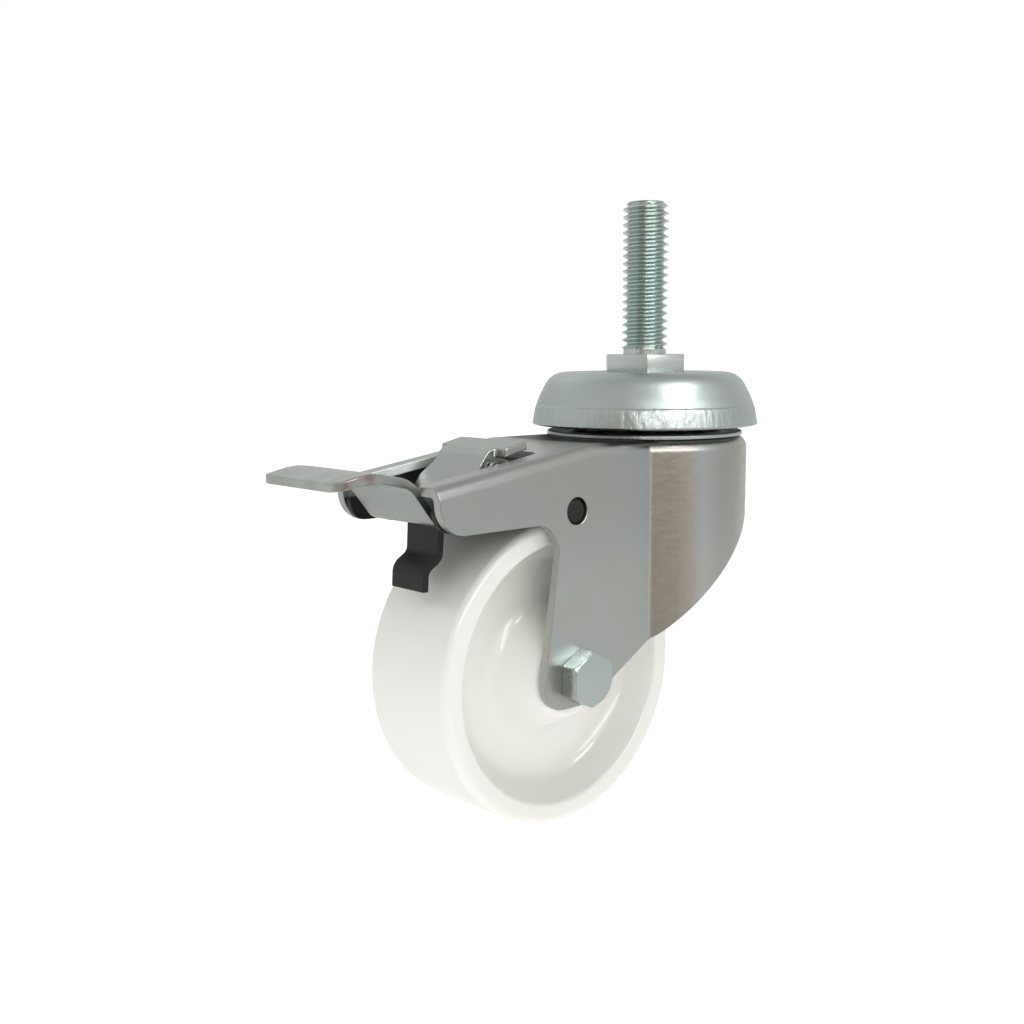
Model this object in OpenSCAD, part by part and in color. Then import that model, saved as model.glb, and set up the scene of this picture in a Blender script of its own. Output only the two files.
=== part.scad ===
// Swivel castor with a threaded stem and a pedal that locks both the wheel and the swivel.
// Origin on the swivel axis, on the top face of the hex collar. +Z runs up the stem and
// +X points to the fork's nose, so the pedal is at -X and the axle bolt's head at -Y.

/* [Stem] */
// Outside diameter of the threaded stem
stem_d = 12.7; // [8:0.1:16]
// Length of the stem above the collar
stem_len = 42; // [20:1:80]
// Chamfer at the stem's tip
stem_chamfer = 1.4; // [0.5:0.1:2.5]
// Hex collar, across flats
collar_af = 21.6; // [18:0.1:27]
// Height of the hex collar
collar_h = 5.4; // [4:0.1:9]
// Diameter of the kingpin below the collar
kingpin_d = 12; // [8:0.5:14]

/* [Swivel head] */
// Outside diameter of the cup's rim
cup_d = 63.6; // [60:0.2:70]
// Height of the cup
cup_h = 14.3; // [13.5:0.1:18]
// Sheet thickness of the cup
cup_wall = 2.2; // [1.5:0.1:2.6]
// Gap between the cup's rim and the race plate
head_gap = 1.5; // [1:0.1:3]
// Diameter of the race plate
race_plate_d = 55.2; // [50:0.2:57]
// Thickness of the race plate
race_plate_t = 1.2; // [1:0.1:1.6]
// Sheet thickness of the upper race
upper_race_t = 2.4; // [1.5:0.1:2.8]
// Diameter of the upper balls
upper_ball_d = 7.94; // [6:0.01:8]
// Diameter of the circle that the upper balls run on
upper_track_d = 39; // [38:0.5:42]
// Number of upper balls
upper_ball_n = 15; // [8:1:15]
// Diameter of the lower balls
lower_ball_d = 4.76; // [4:0.01:5]
// Diameter of the circle that the lower balls run on
lower_track_d = 27; // [26.5:0.5:30]
// Number of lower balls
lower_ball_n = 16; // [8:1:16]
// Thickness of the lower cup
lower_cup_t = 2; // [1.5:0.1:2.5]
// Thickness of the lock ring's disc
lock_disc_t = 1.8; // [1.2:0.1:2.2]
// Height of the lock ring's teeth
lock_tooth_h = 3.6; // [3:0.1:3.8]
// Outside diameter of the lock ring
lock_ring_d = 39; // [36:0.5:42]
// Number of teeth on the lock ring
lock_tooth_n = 24; // [12:12:24]
// Thickness of the washer under the kingpin's head
washer_t = 1.5; // [1:0.1:2]

/* [Fork] */
// Sheet thickness of the fork
sheet = 2.5; // [2:0.1:3]
// Outside width over the two legs
fork_w = 41.6; // [40:0.1:46]
// Outside diameter of the round crown and nose
crown_d = 57.8; // [56:0.2:64]
// Outside radius of the bend round the crown's top edge
crown_bend = 3.5; // [3:0.1:5]
// Drop from the crown's top to the axle
axle_drop = 58.8; // [56:0.1:70]
// Distance of the axle behind the swivel axis
trail = 45.8; // [44:0.1:50]
// Reach of the two rear arms, from the swivel axis
arm_reach = 90.9; // [90:0.1:95]
// Slope of the rear arms
arm_slope = 8.5; // [6:0.1:10]
// Distance behind the swivel axis where the arms start to slope
arm_start = 42; // [38:0.5:44]
// Height of the arms' lower edge above the axle
arm_low = 39.9; // [38:0.1:41]
// Width of the inward flange on each arm
flange_w = 7.3; // [5:0.1:7.5]
// Rear edge of the crown, behind the swivel axis
web_end = 48; // [46:0.5:50]
// Height of the nose's lower edge above the axle
nose_low = 38.5; // [34:0.5:44]
// Drop of the legs' lower edge below the axle
leg_drop = 7.8; // [6:0.1:12]
// Slack in the crown hole round the kingpin
crown_slack = 3; // [1:0.1:4]

/* [Wheel and axle] */
// Diameter of the wheel
wheel_d = 80; // [76:1:81]
// Width of the tread
wheel_w = 31.2; // [26:0.2:31.4]
// Length of the hub
hub_len = 34.2; // [32:0.1:34.4]
// Diameter of the hub at its faces
hub_d = 27; // [22:0.5:30]
// Thickness of the web between rim and hub
web_t = 12.4; // [8:0.1:16]
// Inside diameter of the rim at the wheel's faces
rim_d = 69; // [64:0.5:71]
// Radius of the tread's corners
tread_r = 2.2; // [1:0.1:4]
// Diameter of the axle bolt
axle_d = 8; // [6:1:8]
// Axle bolt and nut, across flats
bolt_af = 13; // [12:0.5:14]
// Height of the bolt's head
bolt_head_h = 5.3; // [4:0.1:6]
// Height of the lock nut
nut_h = 8; // [7:0.1:9]
// Diameter of the axle tube
tube_d = 12; // [11.5:0.1:13]
// Diameter of the thrust washers
thrust_d = 20; // [16:0.5:24]
// Thickness of the thrust washers
thrust_t = 1; // [0.8:0.1:1]

/* [Brake] */
// Sheet thickness of the pedal
pedal_t = 2.2; // [1.8:0.1:2.4]
// Width of the pedal's foot plate
foot_w = 30.4; // [28:0.2:32]
// Width of the pedal's dip between the arms
dip_w = 26; // [24:0.2:26]
// Width over the pedal's two rails, beside its window
rail_w = 24; // [22:0.2:24]
// Width of the pedal's neck
neck_w = 18.4; // [18:0.1:18.4]
// Width of the pedal's release tab
tab_w = 25.2; // [23:0.2:25.4]
// Reach of the foot plate behind the swivel axis
foot_reach = 113.6; // [108:0.1:122]
// Distance of the pedal's pin behind the swivel axis
pedal_pin_x = 61.5; // [61:0.1:62]
// Height of the pedal's pin above the axle
pedal_pin_z = 51; // [50.8:0.1:51.2]
// Diameter of the pedal's pin
pedal_pin_d = 5; // [4:0.1:5.4]
// Sheet thickness of the bracket
bracket_t = 2; // [1.5:0.1:2]
// Sheet thickness of the brake lever
lever_t = 1.8; // [1.5:0.1:1.9]
// Width of the lever's flat arm
lever_w = 22; // [18:0.2:22]
// Width of the lever's tail tongue
tongue_w = 12.6; // [10:0.2:12.8]
// Width of the lever's tooth
tooth_w = 2; // [1.6:0.1:2]
// Distance of the lever's studs behind the swivel axis
stud_x = 47.1; // [46.8:0.1:47.6]
// Height of the lever's studs above the axle
stud_z = 42.5; // [42.3:0.1:42.8]
// Diameter of the holes in the fork for the lever's studs
stud_hole_d = 6.9; // [6:0.1:7]

/* [Clearances] */
// Running clearance round a pin or shaft, on the radius
running = 0.05; // [0.02:0.01:0.08]
// Gap between parts that pass each other
pass = 0.3; // [0.3:0.05:0.4]
// Clearance of a fixed part on its bolt or pin, on the radius
slip = 0.1; // [0.05:0.05:0.2]

/* [Hidden] */
$fn = 64;

// Colours
zinc = [0.66, 0.69, 0.67];
bright = [0.80, 0.81, 0.80];
black = [0.16, 0.16, 0.16];
nylon = [0.92, 0.92, 0.89];

// Heights of the stack, from the collar down
cup_top = -collar_h;
cup_rim = cup_top - cup_h;
race_top = cup_rim - head_gap;
crown_top = race_top - race_plate_t;
crown_under = crown_top - sheet;
axle_z = crown_top - axle_drop;
kingpin_r = kingpin_d / 2;
kingpin_bore_r = kingpin_r + slip;

// Ball rows: each ball sinks a little into the track that carries it
upper_ball_r = upper_ball_d / 2;
upper_track_r = upper_track_d / 2;
upper_ball_z = race_top - 0.45 + upper_ball_r;
lower_ball_r = lower_ball_d / 2;
lower_track_r = lower_track_d / 2;
lower_ball_z = crown_under + 0.2 - lower_ball_r;
upper_race_under = upper_ball_z + upper_ball_r - 0.4;
lower_cup_top = lower_ball_z - lower_ball_r + 0.2;
lower_cup_under = lower_cup_top - lower_cup_t;
lock_under = lower_cup_under - lock_disc_t;
washer_under = lock_under - washer_t;
peen_h = 2.2;

// Fork
leg_out = fork_w / 2;
leg_in = leg_out - sheet;
// The pressing is a hair narrower behind the level crown, so the axle's seats are too
hair = 0.03;
seat_out = leg_out - hair;
seat_in = leg_in - hair;
crown_r = crown_d / 2;
// Where the round crown meets the flat legs
crown_chord = sqrt(crown_r * crown_r - leg_out * leg_out);

// Wheel and axle
wheel_r = wheel_d / 2;
axle_r = axle_d / 2;
tube_bore_r = axle_r + slip;

// Brake
stud_r = stud_hole_d / 2 - slip;
cheek_in = neck_w / 2 + pass + 0.1;
cheek_out = cheek_in + bracket_t;
flange_in = neck_w / 2 - 2;
window_w = tongue_w + 4 * pass;
lever_ear_out = leg_in - pass;
lever_ear_in = lever_ear_out - lever_t;

// Side outline of the fork, [x, z, corner radius], z from the axle
arm_end_low = -arm_reach + (axle_drop - (arm_reach - arm_start) * sin(arm_slope) - arm_low) * tan(arm_slope);
arm_end_high = -arm_reach - 9 * tan(arm_slope);
fork_side = [
    [crown_r + 4, axle_drop + 6, 0],
    [arm_end_high, axle_drop + 6, 0],
    [arm_end_low, arm_low, 6.5],
    [-trail - 6.2, arm_low, 7.5],
    [-trail - 14.4, -leg_drop, 6.5],
    [-trail + 3.2, -leg_drop, 8],
    [-18.5, 6.3, 24],
    [20, nose_low, 12],
    [crown_r + 4, nose_low, 0]
];

// Middle line of the pedal's sheet, [x, z] from the swivel axis and the axle, with its bends
pedal_path = [
    [-foot_reach, 51.96], [-91.97, 54.49], [-84.8, 41.57], [-75.2, 44.32], [-65.84, 57], [-56.7, 59]
];
pedal_bends = [14, 3, 10, 3];
foot_x = -103;
dip_x = -94;
rail_x = -86;
neck_x = -71.5;
tab_x = -63.9;
window_back = -85.5;
window_front = -71.6;

// Middle line of the brake lever's sheet, from the tooth to the tail
lever_path = [
    [-17.2, 44], [-17.2, 41.8], [-25, 41.8], [-40, 44.7], [-78.6, 45.9],
    [-79.3, 32.6], [-83.7, 29.8], [-84, 24.6]
];
lever_bends = [2.2, 12, 12, 3.2, 3, 3];
arm_back = -68.4;

saddle_x = [-stud_x - 5.5, -stud_x + 4.5];

function unit(a, b) = (b - a) / norm(b - a);
function left_of(v) = [-v[1], v[0]];
function turn(u, v) = atan2(u[0] * v[1] - u[1] * v[0], u * v);
function xy(p) = [p[0], p[1]];

// Corner number i of a closed outline: its tangent points, point, centre, side and radius
function corner(pts, i) =
    let (
        n = len(pts),
        p = xy(pts[i]),
        u = unit(xy(pts[(i + n - 1) % n]), p),
        v = unit(p, xy(pts[(i + 1) % n])),
        a = turn(u, v),
        side = a > 0 ? 1 : -1,
        r = pts[i][2],
        back = r * tan(abs(a) / 2)
    )
    [p - u * back, p + v * back, p, p - u * back + left_of(u) * side * r, side, r];

// A flat outline with true round corners, from points [x, y, radius] taken anticlockwise
module rounded(pts) {
    corners = [for (i = [0 : len(pts) - 1]) corner(pts, i)];
    difference() {
        union() {
            polygon([for (c = corners) each (c[5] > 0 ? [c[0], c[1]] : [c[0]])]);
            for (c = corners) if (c[5] > 0 && c[4] > 0) corner_disc(c, true);
        }
        for (c = corners) if (c[5] > 0 && c[4] < 0) corner_disc(c, false);
    }
}

// The part of a corner's circle that rounds the corner off, or that hollows it out
module corner_disc(c, outward) {
    middle = (c[0] + c[1]) / 2;
    heart = outward ? middle + unit(c[2], middle) * 0.3 : c[3];
    intersection() {
        translate(c[3]) circle(c[5]);
        polygon([heart, c[0] + unit(c[2], c[0]) * 0.3, c[2], c[1] + unit(c[2], c[1]) * 0.3]);
    }
}

// One edge of a bent sheet: the path moved to its right by s, bends and all
function shifted(path, bends, s) =
    let (n = len(path))
    [for (i = [0 : n - 1])
        let (
            u = unit(path[max(i - 1, 0)], path[max(i, 1)]),
            v = unit(path[min(i, n - 2)], path[min(i + 1, n - 1)]),
            p = path[i] - (left_of(u) + left_of(v)) * s / (1 + u * v),
            r = (i == 0 || i == n - 1) ? 0 : bends[i - 1] + s * (turn(u, v) > 0 ? 1 : -1)
        )
        [p[0], p[1], r]
    ];

function reversed(list) = [for (i = [len(list) - 1 : -1 : 0]) list[i]];

// A bent sheet seen edge-on, along a middle line with one bend radius for each inner point
module strip(path, bends, t) {
    rounded(concat(shifted(path, bends, t / 2), reversed(shifted(path, bends, -t / 2))));
}

// Turns a flat outline drawn in x and z into a solid of width w about the middle plane
module across(w) {
    rotate([90, 0, 0]) linear_extrude(w, center = true) children();
}

// The same, for both of two like plates that lie from y0 to y1 on each side
module both_sides(y0, y1) {
    for (s = [-1, 1])
        translate([0, s * (y0 + y1) / 2, 0]) across(y1 - y0) children();
}

// A round bar along y, from y0 to y1
module bar_y(r, y0, y1) {
    translate([0, y0, 0]) rotate([-90, 0, 0]) cylinder(r = r, h = y1 - y0);
}

// Ring-shaped room for a row of balls
module ball_track(track_r, z, ball_r) {
    rotate_extrude() translate([track_r, z]) circle(ball_r + running);
}

module ball_row(track_r, z, ball_r, n) {
    for (i = [0 : n - 1])
        rotate([0, 0, (i + 0.5) * 360 / n]) translate([track_r, 0, z]) sphere(r = ball_r, $fn = 24);
}

// Hex bar with its corners turned off at one or both ends
module hex_head(af, h, ends) {
    corner = af / sqrt(3);
    off = (corner - af / 2) * tan(30) + 0.2;
    intersection() {
        cylinder(r = corner, h = h, $fn = 6);
        union() {
            translate([0, 0, ends > 1 ? off : 0]) cylinder(r = corner + 1, h = h - (ends > 1 ? 2 : 1) * off);
            translate([0, 0, h - off]) cylinder(r1 = corner + 0.35, r2 = af / 2 - 0.1, h = off);
            if (ends > 1) cylinder(r1 = af / 2 - 0.1, r2 = corner + 0.35, h = off);
        }
    }
}

module stem_stud() {
    color(bright) {
        translate([0, 0, -collar_h / 2]) cylinder(d = stem_d, h = stem_len - stem_chamfer + collar_h / 2);
        translate([0, 0, stem_len - stem_chamfer])
            cylinder(d1 = stem_d, d2 = stem_d - 2 * stem_chamfer, h = stem_chamfer);
        rotate([0, 0, 50]) translate([0, 0, -collar_h]) hex_head(collar_af, collar_h, 2);
        translate([0, 0, washer_under - 0.2])
            cylinder(r = kingpin_r, h = cup_top - washer_under + 0.2 + collar_h / 2);
        translate([0, 0, washer_under - peen_h])
            cylinder(r1 = kingpin_r - 1, r2 = kingpin_r + 2, h = peen_h);
    }
}

module swivel_cup() {
    cup_r = cup_d / 2;
    t = cup_wall;
    color(zinc) difference() {
        rotate_extrude() strip([
            [kingpin_bore_r, cup_top - t / 2],
            [collar_af / 2 + 0.6, cup_top - t / 2],
            [cup_r - 3.9, cup_top - t / 2 - 2.3],
            [cup_r - 2, cup_rim + 3.4],
            [cup_r - t / 2, cup_rim]
        ], [6, 5, 6], t);
        translate([0, 0, cup_rim - 2]) cylinder(r = cup_r + 2, h = 2);
    }
}

module upper_race() {
    t = upper_race_t;
    hub_z = cup_top - cup_wall - t / 2;
    track_z = upper_race_under + t / 2;
    color(zinc) difference() {
        rotate_extrude() strip([
            [kingpin_bore_r, hub_z],
            [kingpin_r + 5.5, hub_z],
            [upper_track_r - upper_ball_r - 0.4, track_z],
            [upper_track_r + upper_ball_r + 2, track_z]
        ], [2.5, 2.5], t);
        ball_track(upper_track_r, upper_ball_z, upper_ball_r);
    }
}

module upper_balls() {
    color(bright) ball_row(upper_track_r, upper_ball_z, upper_ball_r, upper_ball_n);
}

module lower_balls() {
    color(bright) ball_row(lower_track_r, lower_ball_z, lower_ball_r, lower_ball_n);
}

module lower_cup() {
    t = lower_cup_t;
    rim_r = lower_track_r + lower_ball_r + 0.4 + t / 2;
    color(zinc) difference() {
        rotate_extrude() strip([
            [kingpin_bore_r, lower_cup_top - t / 2],
            [rim_r, lower_cup_top - t / 2],
            [rim_r, lower_ball_z + 0.6]
        ], [t / 2 + 0.4], t);
        ball_track(lower_track_r, lower_ball_z, lower_ball_r);
    }
}

module lock_ring() {
    r = lock_ring_d / 2;
    tooth_in = r - 4;
    slot_w = tooth_w + 2 * pass;
    color(zinc) difference() {
        union() {
            translate([0, 0, lock_under]) cylinder(r = r, h = lock_disc_t);
            translate([0, 0, lock_under - lock_tooth_h]) difference() {
                cylinder(r = r, h = lock_tooth_h);
                translate([0, 0, -1]) cylinder(r = tooth_in, h = lock_tooth_h + 1);
            }
        }
        translate([0, 0, lock_under - 1]) cylinder(r = kingpin_bore_r, h = lock_disc_t + 2);
        for (i = [0 : lock_tooth_n - 1])
            rotate([0, 0, i * 360 / lock_tooth_n])
                translate([tooth_in - 2, -slot_w / 2, lock_under - lock_tooth_h - 1])
                    cube([8, slot_w, lock_tooth_h + 1]);
    }
}

module kingpin_washer() {
    color(zinc) translate([0, 0, washer_under]) difference() {
        cylinder(r = kingpin_r + 4, h = washer_t);
        translate([0, 0, -1]) cylinder(r = kingpin_bore_r, h = washer_t + 2);
    }
}

module race_plate() {
    color(zinc) difference() {
        translate([0, 0, crown_top]) cylinder(d = race_plate_d, h = race_plate_t);
        translate([0, 0, crown_top - 1]) cylinder(r = kingpin_r + crown_slack, h = race_plate_t + 2);
        ball_track(upper_track_r, upper_ball_z, upper_ball_r);
    }
}

// Crown and nose: a round pressing about the swivel axis
module fork_crown() {
    wall_r = crown_r - sheet / 2;
    intersection() {
        rotate_extrude() strip([
            [0, crown_under + sheet / 2],
            [wall_r, crown_under + sheet / 2],
            [wall_r, axle_z]
        ], [crown_bend - sheet / 2], sheet);
        translate([0.05 - crown_chord, -crown_r - 1, axle_z - 1])
            cube([crown_chord + crown_r + 1, 2 * crown_r + 2, axle_drop + 2]);
    }
}

// Legs and arms: a channel of inverted U section, of length l towards -x
module fork_channel(l, half) {
    wall_y = half - sheet / 2;
    depth = axle_drop + leg_drop + 12;
    translate([-l, 0, 0]) rotate([90, 0, 90]) linear_extrude(l)
        strip([
            [-wall_y, -depth], [-wall_y, -sheet / 2], [wall_y, -sheet / 2], [wall_y, -depth]
        ], [crown_bend - sheet / 2, crown_bend - sheet / 2], sheet);
}

module fork() {
    slot_half = leg_out - flange_w;
    color(zinc) difference() {
        intersection() {
            union() {
                fork_crown();
                // The legs run a little way into the round nose
                translate([0.5 - crown_chord, 0, crown_top])
                    fork_channel(arm_start - crown_chord + 0.5, leg_out);
                // The sloping arms start just inside the level part, a hair narrower
                translate([0.2 - arm_start, 0, crown_top - 0.02]) rotate([0, -arm_slope, 0])
                    fork_channel(arm_reach - arm_start + 12, seat_out);
            }
            translate([0, 0, axle_z]) across(crown_d + 10) rounded(fork_side);
        }
        // Slot between the two arms, rounded at the crown
        translate([0, 0, crown_top - 20]) linear_extrude(30) rounded([
            [-arm_reach - 20, -slot_half, 0],
            [-web_end, -slot_half, 4],
            [-web_end, slot_half, 4],
            [-arm_reach - 20, slot_half, 0]
        ]);
        translate([0, 0, crown_under - 1]) cylinder(r = kingpin_r + crown_slack, h = sheet + 2);
        ball_track(lower_track_r, lower_ball_z, lower_ball_r);
        ball_track(upper_track_r, upper_ball_z, upper_ball_r);
        translate([-trail, 0, axle_z]) bar_y(axle_r + 2 * slip, -leg_out - 1, leg_out + 1);
        translate([-stud_x, 0, axle_z + stud_z]) bar_y(stud_hole_d / 2, -leg_out - 1, leg_out + 1);
    }
}

// Bracket under the crown that carries the pedal's pin
module brake_bracket() {
    mid = (cheek_in + cheek_out) / 2;
    top = axle_drop - sheet;
    color(zinc) difference() {
        intersection() {
            translate([-pedal_pin_x - 8, 0, axle_z]) rotate([90, 0, 90]) linear_extrude(pedal_pin_x - 20)
                strip([
                    [-mid, 44], [-mid, top - bracket_t / 2], [mid, top - bracket_t / 2], [mid, 44]
                ], [bracket_t, bracket_t], bracket_t);
            translate([0, 0, axle_z]) across(2 * cheek_out + 2) rounded([
                [-31, top, 0], [-arm_start + 0.5, top, 0], [-arm_start, top - 1.2, 0],
                [-pedal_pin_x - 4.2, top - 1.2, 3], [-pedal_pin_x - 4.2, pedal_pin_z - 4, 3.5],
                [-pedal_pin_x + 4, pedal_pin_z - 4, 6], [-36, top - 5, 4], [-31, top - 5, 0]
            ]);
        }
        translate([-pedal_pin_x - 10, -cheek_in, axle_z + 40])
            cube([pedal_pin_x + 10 - arm_start, 2 * cheek_in, 20]);
        translate([-pedal_pin_x, 0, axle_z + pedal_pin_z]) bar_y(pedal_pin_d / 2 + slip / 2, -20, 20);
    }
}

module pedal_pin() {
    r = pedal_pin_d / 2;
    color(bright) translate([-pedal_pin_x, 0, axle_z + pedal_pin_z]) {
        bar_y(r, -cheek_out, cheek_out);
        bar_y(r + 1, cheek_out, cheek_out + 1.1);
        bar_y(r + 1, -cheek_out - 1.1, -cheek_out);
    }
}

module brake_pedal() {
    color(zinc) difference() {
        union() {
            intersection() {
                translate([0, 0, axle_z]) across(foot_w + 2) strip(pedal_path, pedal_bends, pedal_t);
                translate([0, 0, axle_z + 30]) linear_extrude(40) rounded([
                    [-foot_reach - 2, -foot_w / 2, 0], [foot_x, -foot_w / 2, 9],
                    [dip_x, -dip_w / 2, 9], [rail_x, -dip_w / 2, 2], [rail_x + 1.5, -rail_w / 2, 2],
                    [neck_x, -rail_w / 2, 1.5], [neck_x + 2.6, -neck_w / 2, 1.2],
                    [tab_x, -neck_w / 2, 0.8], [tab_x, -tab_w / 2, 0.8],
                    [-50, -tab_w / 2, 0], [-50, tab_w / 2, 0],
                    [tab_x, tab_w / 2, 0.8], [tab_x, neck_w / 2, 0.8],
                    [neck_x + 2.6, neck_w / 2, 1.2], [neck_x, rail_w / 2, 1.5],
                    [rail_x + 1.5, rail_w / 2, 2], [rail_x, dip_w / 2, 2], [dip_x, dip_w / 2, 9],
                    [foot_x, foot_w / 2, 9], [-foot_reach - 2, foot_w / 2, 0]
                ]);
            }
            // Ears turned back from the neck, which turn on the pin
            translate([0, 0, axle_z]) both_sides(flange_in, neck_w / 2) rounded([
                [-69.2, 48.6, 0], [-pedal_pin_x + 1.4, pedal_pin_z - 4.2, 3.5],
                [-pedal_pin_x + 4.4, pedal_pin_z + 3.4, 3.5], [-65.2, 56.9, 0]
            ]);
        }
        // Window that the lever's tongue passes through
        translate([0, 0, axle_z + 38]) linear_extrude(12.5) rounded([
            [window_back, -window_w / 2, 1.2], [window_front, -window_w / 2, 1.2],
            [window_front, window_w / 2, 1.2], [window_back, window_w / 2, 1.2]
        ]);
        translate([-pedal_pin_x, 0, axle_z + pedal_pin_z]) bar_y(pedal_pin_d / 2 + running, -20, 20);
    }
}

module brake_lever() {
    ear_mid = (lever_ear_in + lever_ear_out) / 2;
    plate_z = lever_path[3][1];
    color(black) difference() {
        union() {
            // Tooth, arm and tail
            intersection() {
                translate([0, 0, axle_z]) across(lever_w + 2) strip(lever_path, lever_bends, lever_t);
                translate([0, 0, axle_z + 15]) linear_extrude(40) rounded([
                    [-90, -tongue_w / 2, 0], [arm_back - 1.5, -tongue_w / 2, 1],
                    [arm_back, -lever_w / 2, 1.5], [-34, -lever_w / 2, 5], [-25, -4.5, 4],
                    [-20, -tooth_w / 2, 1], [-10, -tooth_w / 2, 0],
                    [-10, tooth_w / 2, 0], [-20, tooth_w / 2, 1],
                    [-25, 4.5, 4], [-34, lever_w / 2, 5], [arm_back, lever_w / 2, 1.5],
                    [arm_back - 1.5, tongue_w / 2, 1], [-90, tongue_w / 2, 0]
                ]);
            }
            // Saddle with an ear down each side of the wheel
            intersection() {
                translate([saddle_x[0], 0, axle_z]) rotate([90, 0, 90])
                    linear_extrude(saddle_x[1] - saddle_x[0])
                        strip([
                            [-ear_mid, 30], [-ear_mid, plate_z], [ear_mid, plate_z], [ear_mid, 30]
                        ], [2, 2], lever_t);
                translate([0, 0, axle_z]) across(fork_w) rounded([
                    [saddle_x[1] + 1, plate_z + 3, 0], [saddle_x[0] - 1, plate_z + 3, 0],
                    [-stud_x - 4.6, stud_z - 4.6, 4.2], [-stud_x + 4.4, stud_z - 4.6, 4.2]
                ]);
            }
        }
        translate([-stud_x, 0, axle_z + stud_z]) bar_y(stud_r, -leg_out, leg_out);
    }
}

module lever_studs() {
    color(black) translate([-stud_x, 0, axle_z + stud_z]) {
        bar_y(stud_r, -leg_out + 0.6, -lever_ear_in);
        bar_y(stud_r, lever_ear_in, leg_out - 0.6);
    }
}

module wheel() {
    half = wheel_w / 2;
    hub_half = hub_len / 2;
    web_half = web_t / 2;
    rim_r = rim_d / 2;
    hub_r = hub_d / 2;
    color(nylon) translate([-trail, 0, axle_z]) rotate([-90, 0, 0]) rotate_extrude($fn = 128)
        rounded([
            [tube_d / 2 + running, -hub_half, 0], [hub_r, -hub_half, 1.5],
            [hub_r + 3.2, -web_half, 5], [rim_r - 4.6, -web_half, 5],
            [rim_r, -half, 1.2], [wheel_r, -half, tread_r],
            [wheel_r, half, tread_r], [rim_r, half, 1.2],
            [rim_r - 4.6, web_half, 5], [hub_r + 3.2, web_half, 5],
            [hub_r, hub_half, 1.5], [tube_d / 2 + running, hub_half, 0]
        ]);
}

module axle_tube() {
    color(zinc) translate([-trail, 0, axle_z]) difference() {
        bar_y(tube_d / 2, -seat_in, seat_in);
        bar_y(tube_bore_r, -seat_in - 1, seat_in + 1);
    }
}

module thrust_washers() {
    for (y = [-seat_in, seat_in - thrust_t])
        color(zinc) translate([-trail, 0, axle_z]) difference() {
            bar_y(thrust_d / 2, y, y + thrust_t);
            bar_y(tube_d / 2 + slip, y - 1, y + thrust_t + 1);
        }
}

module axle_bolt() {
    color(bright) translate([-trail, 0, axle_z]) {
        bar_y(axle_r, -leg_out - 0.5, leg_out + nut_h + 2.2);
        translate([0, -leg_out, 0]) rotate([90, 0, 0]) rotate([0, 0, 21])
            hex_head(bolt_af, bolt_head_h, 1);
    }
}

module axle_nut() {
    collar = 2.2;
    color(zinc) translate([-trail, leg_out, axle_z]) rotate([-90, 0, 0]) difference() {
        union() {
            hex_head(bolt_af, nut_h - collar, 2);
            cylinder(d = bolt_af - 1, h = nut_h);
        }
        translate([0, 0, -1]) cylinder(r = axle_r + slip / 2, h = nut_h + 2);
        translate([0, 0, nut_h - collar]) cylinder(r = axle_r + 1.3, h = 1.6);
    }
}

module nut_insert() {
    color(nylon) translate([-trail, leg_out + nut_h - 2.2, axle_z]) rotate([-90, 0, 0]) difference() {
        cylinder(r = axle_r + 1.3, h = 1.6);
        translate([0, 0, -1]) cylinder(r = axle_r, h = 4);
    }
}

stem_stud();
swivel_cup();
upper_race();
upper_balls();
lower_balls();
lower_cup();
lock_ring();
kingpin_washer();
race_plate();
fork();
brake_bracket();
pedal_pin();
brake_pedal();
brake_lever();
lever_studs();
wheel();
axle_tube();
thrust_washers();
axle_bolt();
axle_nut();
nut_insert();
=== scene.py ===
import math

import bpy
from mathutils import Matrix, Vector


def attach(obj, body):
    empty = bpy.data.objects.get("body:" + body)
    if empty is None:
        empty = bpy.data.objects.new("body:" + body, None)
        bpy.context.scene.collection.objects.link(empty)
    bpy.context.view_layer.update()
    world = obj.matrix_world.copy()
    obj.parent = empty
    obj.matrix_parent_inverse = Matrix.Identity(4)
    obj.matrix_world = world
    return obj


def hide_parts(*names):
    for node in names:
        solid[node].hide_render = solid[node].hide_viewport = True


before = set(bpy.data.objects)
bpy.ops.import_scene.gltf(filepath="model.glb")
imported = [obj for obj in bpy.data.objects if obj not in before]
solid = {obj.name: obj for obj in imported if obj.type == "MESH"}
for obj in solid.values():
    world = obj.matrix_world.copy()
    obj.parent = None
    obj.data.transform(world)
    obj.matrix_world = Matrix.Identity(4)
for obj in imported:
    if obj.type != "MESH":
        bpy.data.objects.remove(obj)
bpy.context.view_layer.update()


# Stem and kingpin
# One turned and cold-headed steel part: a rolled thread above, a hex collar, and below it
# the kingpin that carries the ball head. Bright zinc plated. Its foot is peened over.

mm = 0.001
stem_radius = 6.35
stem_length = 42.0
thread_pitch = 25.4 / 12
thread_depth = 1.30
collar_height = 5.4
collar_flats = 21.2
collar_sunk = 1.1
kingpin_radius = 6


def pick(piece):
    """Selects this piece and nothing else."""
    bpy.ops.object.select_all(action="DESELECT")
    bpy.context.view_layer.objects.active = piece
    piece.select_set(True)


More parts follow.
